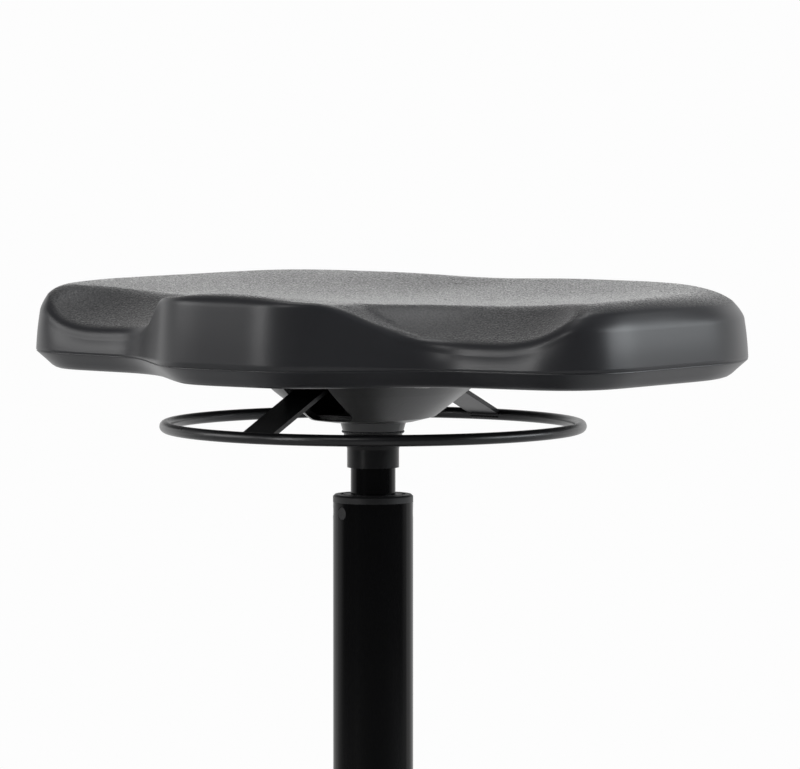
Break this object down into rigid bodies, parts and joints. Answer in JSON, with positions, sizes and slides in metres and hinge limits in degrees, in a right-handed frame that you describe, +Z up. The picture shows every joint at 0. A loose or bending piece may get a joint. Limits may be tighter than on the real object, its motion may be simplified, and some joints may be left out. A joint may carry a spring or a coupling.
{
  "type": "perch stool",
  "caption": "Height adjustable perch stool with a contoured horned seat, gas lift column, ring release lever under the seat and a round weighted base.",
  "frame": {"origin": "on the floor, on the column axis, with the lift fully down", "axes": "+Z up along the column, the seat's front horn towards -Y, the release bar along Y"},
  "size_m": [0.449, 0.368, 0.595],
  "materials": {
    "seat_skin": "fine grained self-skinning foam, grey top and darker sides",
    "hub_grey": "satin grey paint",
    "ring_black": "semi-gloss black powder coat",
    "column_black": "gloss black",
    "black_steel": "satin black",
    "bush_plastic": "moulded dark grey",
    "base_plastic": "fine textured black",
    "tread_rubber": "matte rubber",
    "cast_weight": "rough casting",
    "zinc_steel": "zinc plated",
    "bearing_steel": "hardened, ground",
    "rod_chrome": "hard chrome",
    "alloy": "turned",
    "seal_rubber": "matte rubber",
    "plywood": "birch plywood"
  },
  "bodies": {
    "base": {"base_tread": "tread_rubber", "base_weight": "cast_weight", "base_shell": "base_plastic", "shell_screws": "zinc_steel", "base_socket": "black_steel", "socket_bolts": "zinc_steel", "column_collar": "base_plastic", "stand_tube": "column_black", "guide_bush": "bush_plastic", "tube_bottom_plate": "zinc_steel", "lower_race": "bearing_steel"},
    "cage": {"ball_cage": "bush_plastic", "bearing_balls": "bearing_steel"},
    "rod": {"piston_rod": "rod_chrome", "piston": "alloy", "piston_seal": "seal_rubber", "piston_nut": "zinc_steel", "upper_race": "bearing_steel", "bumper": "seal_rubber", "rod_clip": "bearing_steel"},
    "carriage": {"pressure_tube": "column_black", "cylinder_liner": "zinc_steel", "rod_guide": "alloy", "rod_seal": "seal_rubber", "valve_body": "alloy", "valve_orings": "seal_rubber", "taper_socket": "black_steel", "hub_bowl": "hub_grey", "mount_plate": "black_steel", "seat_screws": "zinc_steel", "seat_washers": "zinc_steel", "tee_nuts": "zinc_steel", "seat_board": "plywood", "seat_pad": "seat_skin"},
    "ring": {"release_ring": "ring_black", "release_bar": "ring_black"},
    "pin": {"valve_pin": "bearing_steel"}
  },
  "joints": [
    {"name": "seat_swivel", "type": "hinge", "parent": "base", "child": "rod", "pos_m": [0, 0, 0.02], "axis": [0, 0, 1], "continuous": true},
    {"name": "cage_roll", "type": "hinge", "parent": "base", "child": "cage", "pos_m": [0, 0, 0.02], "axis": [0, 0, 1], "continuous": true},
    {"name": "seat_lift", "type": "slide", "parent": "rod", "child": "carriage", "axis": [0, 0, 1], "range_m": [0, 0.255]},
    {"name": "ring_tilt", "type": "hinge", "parent": "carriage", "child": "ring", "pos_m": [0, -0.055, 0.5363], "axis": [-1, 0, 0], "range_deg": [0, 4.3], "stiffness_Nm_per_rad": 10, "springref_deg": -8.59},
    {"name": "pin_press", "type": "slide", "parent": "carriage", "child": "pin", "axis": [0, 0, -1], "range_m": [0, 0.0045]}
  ],
  "couplings": [
    {"joint": "cage_roll", "follows": "seat_swivel", "ratio": 0.5},
    {"joint": "pin_press", "follows": "ring_tilt", "m_per_rad": 0.055}
  ]
}
